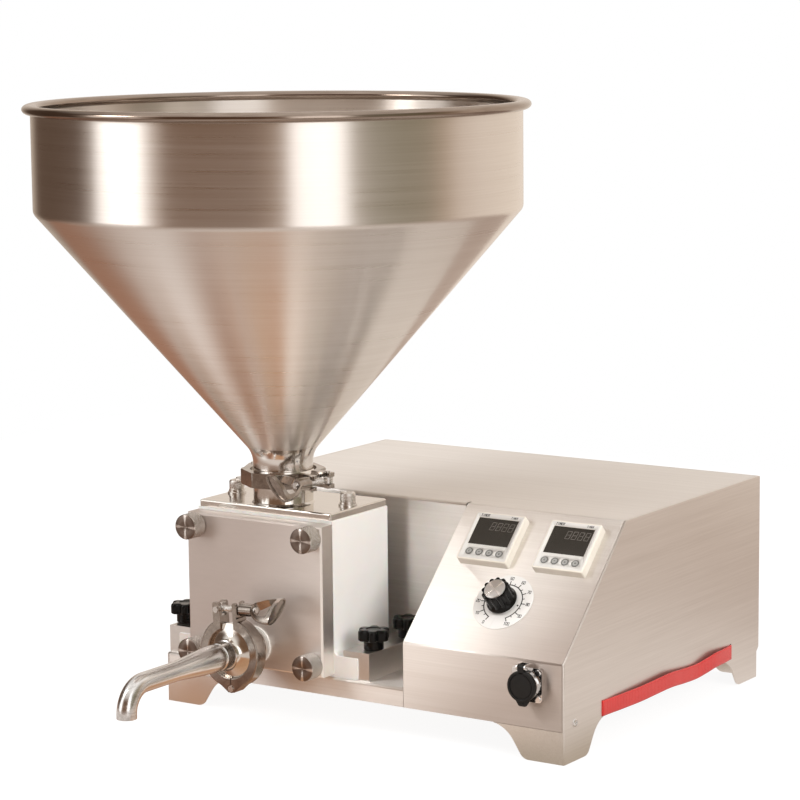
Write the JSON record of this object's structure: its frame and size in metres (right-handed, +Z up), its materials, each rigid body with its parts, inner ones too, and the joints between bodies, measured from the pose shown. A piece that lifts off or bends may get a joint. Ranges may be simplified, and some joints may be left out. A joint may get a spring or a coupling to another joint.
{
  "type": "donut filler machine",
  "caption": "Counter-top donut filler: geared pump under a steep stainless hopper, bent filling spout, sloping console with timers and a speed dial.",
  "frame": {"origin": "centre of the whole machine's footprint box, on the floor", "axes": "+Z up, -Y towards the user at the spout and console, +X towards the console side"},
  "size_m": [0.5119, 0.5423, 0.522],
  "materials": {
    "housing_steel": "fine brushed stainless sheet",
    "hopper_steel": "spun and brushed stainless",
    "polished_steel": "polished stainless",
    "machined_steel": "ground and turned stainless",
    "pump_plastic": "white acetal, machined",
    "gasket": "white silicone",
    "knob_plastic": "black moulded phenolic",
    "webbing": "red woven webbing",
    "timer_case": "ivory moulded plastic",
    "timer_window": "dark tinted window",
    "timer_key": "grey keys",
    "dial": "white printed dial",
    "black_plastic": "black moulded plastic",
    "electrical_metal": "plain aluminium and plated steel",
    "motor_paint": "dark grey paint",
    "board": "green circuit board",
    "gear_steel": "hardened stainless gears"
  },
  "bodies": {
    "machine": {"side_panel_left": "housing_steel", "side_panel_right": "housing_steel", "top_cover": "housing_steel", "console_wall": "housing_steel", "shelf_plate": "housing_steel", "base_plate": "housing_steel", "rear_panel": "housing_steel", "case_screws": "polished_steel", "carry_straps": "webbing", "clamp_bars": "machined_steel", "threaded_studs": "machined_steel", "pump_body": "pump_plastic", "front_cover": "machined_steel", "inlet_plate": "polished_steel", "inlet_plate_screws": "machined_steel", "hopper": "hopper_steel", "seals": "gasket", "hopper_clamp": "polished_steel", "outlet_ferrule": "polished_steel", "spout": "polished_steel", "spout_clamp": "polished_steel", "clamp_pins": "machined_steel", "idler_shaft": "machined_steel", "gear_motor": "motor_paint", "motor_bracket": "electrical_metal", "power_supply": "electrical_metal", "control_board": "board", "timer_housings": "timer_case", "timer_windows": "timer_window", "dial_plate": "dial", "potentiometer": "electrical_metal", "pedal_socket": "polished_steel", "power_inlet": "black_plastic"},
    "drive_line": {"drive_gear": "gear_steel", "drive_shafts": "machined_steel", "shaft_coupling": "electrical_metal"},
    "idler": {"idler_gear": "gear_steel"},
    "speed_dial": {"speed_knob": "knob_plastic"},
    "pedal_socket_lid": {"socket_cap": "black_plastic"},
    "mains_rocker": {"rocker_switch": "black_plastic"},
    "hopper_swing_bolt": {"hopper_clamp_bolt": "machined_steel"},
    "hopper_nut": {"hopper_wing_nut": "polished_steel"},
    "spout_swing_bolt": {"spout_clamp_bolt": "machined_steel"},
    "spout_nut": {"spout_wing_nut": "polished_steel"},
    "star_knob_body_right_front": {"star_knob_right_front": "knob_plastic"},
    "star_knob_body_right_rear": {"star_knob_right_rear": "knob_plastic"},
    "star_knob_body_left_front": {"star_knob_left_front": "knob_plastic"},
    "star_knob_body_left_rear": {"star_knob_left_rear": "knob_plastic"},
    "thumb_nut_body_left_low": {"thumb_nut_left_low": "machined_steel"},
    "thumb_nut_body_left_high": {"thumb_nut_left_high": "machined_steel"},
    "thumb_nut_body_right_low": {"thumb_nut_right_low": "machined_steel"},
    "thumb_nut_body_right_high": {"thumb_nut_right_high": "machined_steel"},
    "key_left_1": {"timer_button_left_1": "timer_key"},
    "key_left_2": {"timer_button_left_2": "timer_key"},
    "key_left_3": {"timer_button_left_3": "timer_key"},
    "key_left_4": {"timer_button_left_4": "timer_key"},
    "key_right_1": {"timer_button_right_1": "timer_key"},
    "key_right_2": {"timer_button_right_2": "timer_key"},
    "key_right_3": {"timer_button_right_3": "timer_key"},
    "key_right_4": {"timer_button_right_4": "timer_key"}
  },
  "joints": [
    {"name": "pump_drive", "type": "hinge", "parent": "machine", "child": "drive_line", "pos_m": [-0.0185, -0.0769, 0.112], "axis": [0, 1, 0], "continuous": true},
    {"name": "idler_turn", "type": "hinge", "parent": "machine", "child": "idler", "pos_m": [-0.0685, -0.0769, 0.112], "axis": [0, 1, 0], "continuous": true},
    {"name": "speed_turn", "type": "hinge", "parent": "machine", "child": "speed_dial", "pos_m": [0.1735, -0.04091, 0.11728], "axis": [0, -0.7001, 0.7141], "range_deg": [-200, 100]},
    {"name": "lid_lift", "type": "hinge", "parent": "machine", "child": "pedal_socket_lid", "pos_m": [0.2195, -0.0885, 0.079], "axis": [-1, 0, 0], "range_deg": [0, 110]},
    {"name": "rocker_tilt", "type": "hinge", "parent": "machine", "child": "mains_rocker", "pos_m": [0.1815, 0.2666, 0.101], "axis": [-1, 0, 0], "range_deg": [0, 20]},
    {"name": "hopper_bolt_swing", "type": "hinge", "parent": "machine", "child": "hopper_swing_bolt", "pos_m": [0.00136, -0.04361, 0.204], "axis": [0, 0, 1], "range_deg": [0, 95]},
    {"name": "hopper_nut_turn", "type": "hinge", "parent": "hopper_swing_bolt", "child": "hopper_nut", "pos_m": [0.00136, -0.04361, 0.204], "axis": [-0.1959, -0.9806, 0], "range_deg": [0, 360]},
    {"name": "spout_bolt_swing", "type": "hinge", "parent": "machine", "child": "spout_swing_bolt", "pos_m": [-0.05611, -0.1204, 0.10121], "axis": [0, -1, 0], "range_deg": [0, 95]},
    {"name": "spout_nut_turn", "type": "hinge", "parent": "spout_swing_bolt", "child": "spout_nut", "pos_m": [-0.05611, -0.1204, 0.10121], "axis": [0.9979, 0, 0.0645], "range_deg": [0, 360]},
    {"name": "turn_star_knob_right_front", "type": "hinge", "parent": "machine", "child": "star_knob_body_right_front", "pos_m": [0.0555, -0.0564, 0.0665], "axis": [0, 0, 1], "range_deg": [0, 360]},
    {"name": "turn_star_knob_right_rear", "type": "hinge", "parent": "machine", "child": "star_knob_body_right_rear", "pos_m": [0.0555, -0.0044, 0.0665], "axis": [0, 0, 1], "range_deg": [0, 360]},
    {"name": "turn_star_knob_left_front", "type": "hinge", "parent": "machine", "child": "star_knob_body_left_front", "pos_m": [-0.1425, -0.0564, 0.0665], "axis": [0, 0, 1], "range_deg": [0, 360]},
    {"name": "turn_star_knob_left_rear", "type": "hinge", "parent": "machine", "child": "star_knob_body_left_rear", "pos_m": [-0.1425, -0.0044, 0.0665], "axis": [0, 0, 1], "range_deg": [0, 360]},
    {"name": "turn_thumb_nut_left_low", "type": "hinge", "parent": "machine", "child": "thumb_nut_body_left_low", "pos_m": [-0.1035, -0.0899, 0.055], "axis": [0, -1, 0], "range_deg": [0, 360]},
    {"name": "turn_thumb_nut_left_high", "type": "hinge", "parent": "machine", "child": "thumb_nut_body_left_high", "pos_m": [-0.1035, -0.0899, 0.163], "axis": [0, -1, 0], "range_deg": [0, 360]},
    {"name": "turn_thumb_nut_right_low", "type": "hinge", "parent": "machine", "child": "thumb_nut_body_right_low", "pos_m": [0.0165, -0.0899, 0.055], "axis": [0, -1, 0], "range_deg": [0, 360]},
    {"name": "turn_thumb_nut_right_high", "type": "hinge", "parent": "machine", "child": "thumb_nut_body_right_high", "pos_m": [0.0165, -0.0899, 0.163], "axis": [0, -1, 0], "range_deg": [0, 360]},
    {"name": "press_key_left_1", "type": "slide", "parent": "machine", "child": "key_left_1", "axis": [0, 0.7001, -0.7141], "range_m": [0, 0.0008], "stiffness_N_per_m": 300},
    {"name": "press_key_left_2", "type": "slide", "parent": "machine", "child": "key_left_2", "axis": [0, 0.7001, -0.7141], "range_m": [0, 0.0008], "stiffness_N_per_m": 300},
    {"name": "press_key_left_3", "type": "slide", "parent": "machine", "child": "key_left_3", "axis": [0, 0.7001, -0.7141], "range_m": [0, 0.0008], "stiffness_N_per_m": 300},
    {"name": "press_key_left_4", "type": "slide", "parent": "machine", "child": "key_left_4", "axis": [0, 0.7001, -0.7141], "range_m": [0, 0.0008], "stiffness_N_per_m": 300},
    {"name": "press_key_right_1", "type": "slide", "parent": "machine", "child": "key_right_1", "axis": [0, 0.7001, -0.7141], "range_m": [0, 0.0008], "stiffness_N_per_m": 300},
    {"name": "press_key_right_2", "type": "slide", "parent": "machine", "child": "key_right_2", "axis": [0, 0.7001, -0.7141], "range_m": [0, 0.0008], "stiffness_N_per_m": 300},
    {"name": "press_key_right_3", "type": "slide", "parent": "machine", "child": "key_right_3", "axis": [0, 0.7001, -0.7141], "range_m": [0, 0.0008], "stiffness_N_per_m": 300},
    {"name": "press_key_right_4", "type": "slide", "parent": "machine", "child": "key_right_4", "axis": [0, 0.7001, -0.7141], "range_m": [0, 0.0008], "stiffness_N_per_m": 300}
  ],
  "couplings": [
    {"joint": "idler_turn", "follows": "pump_drive", "ratio": -1}
  ]
}
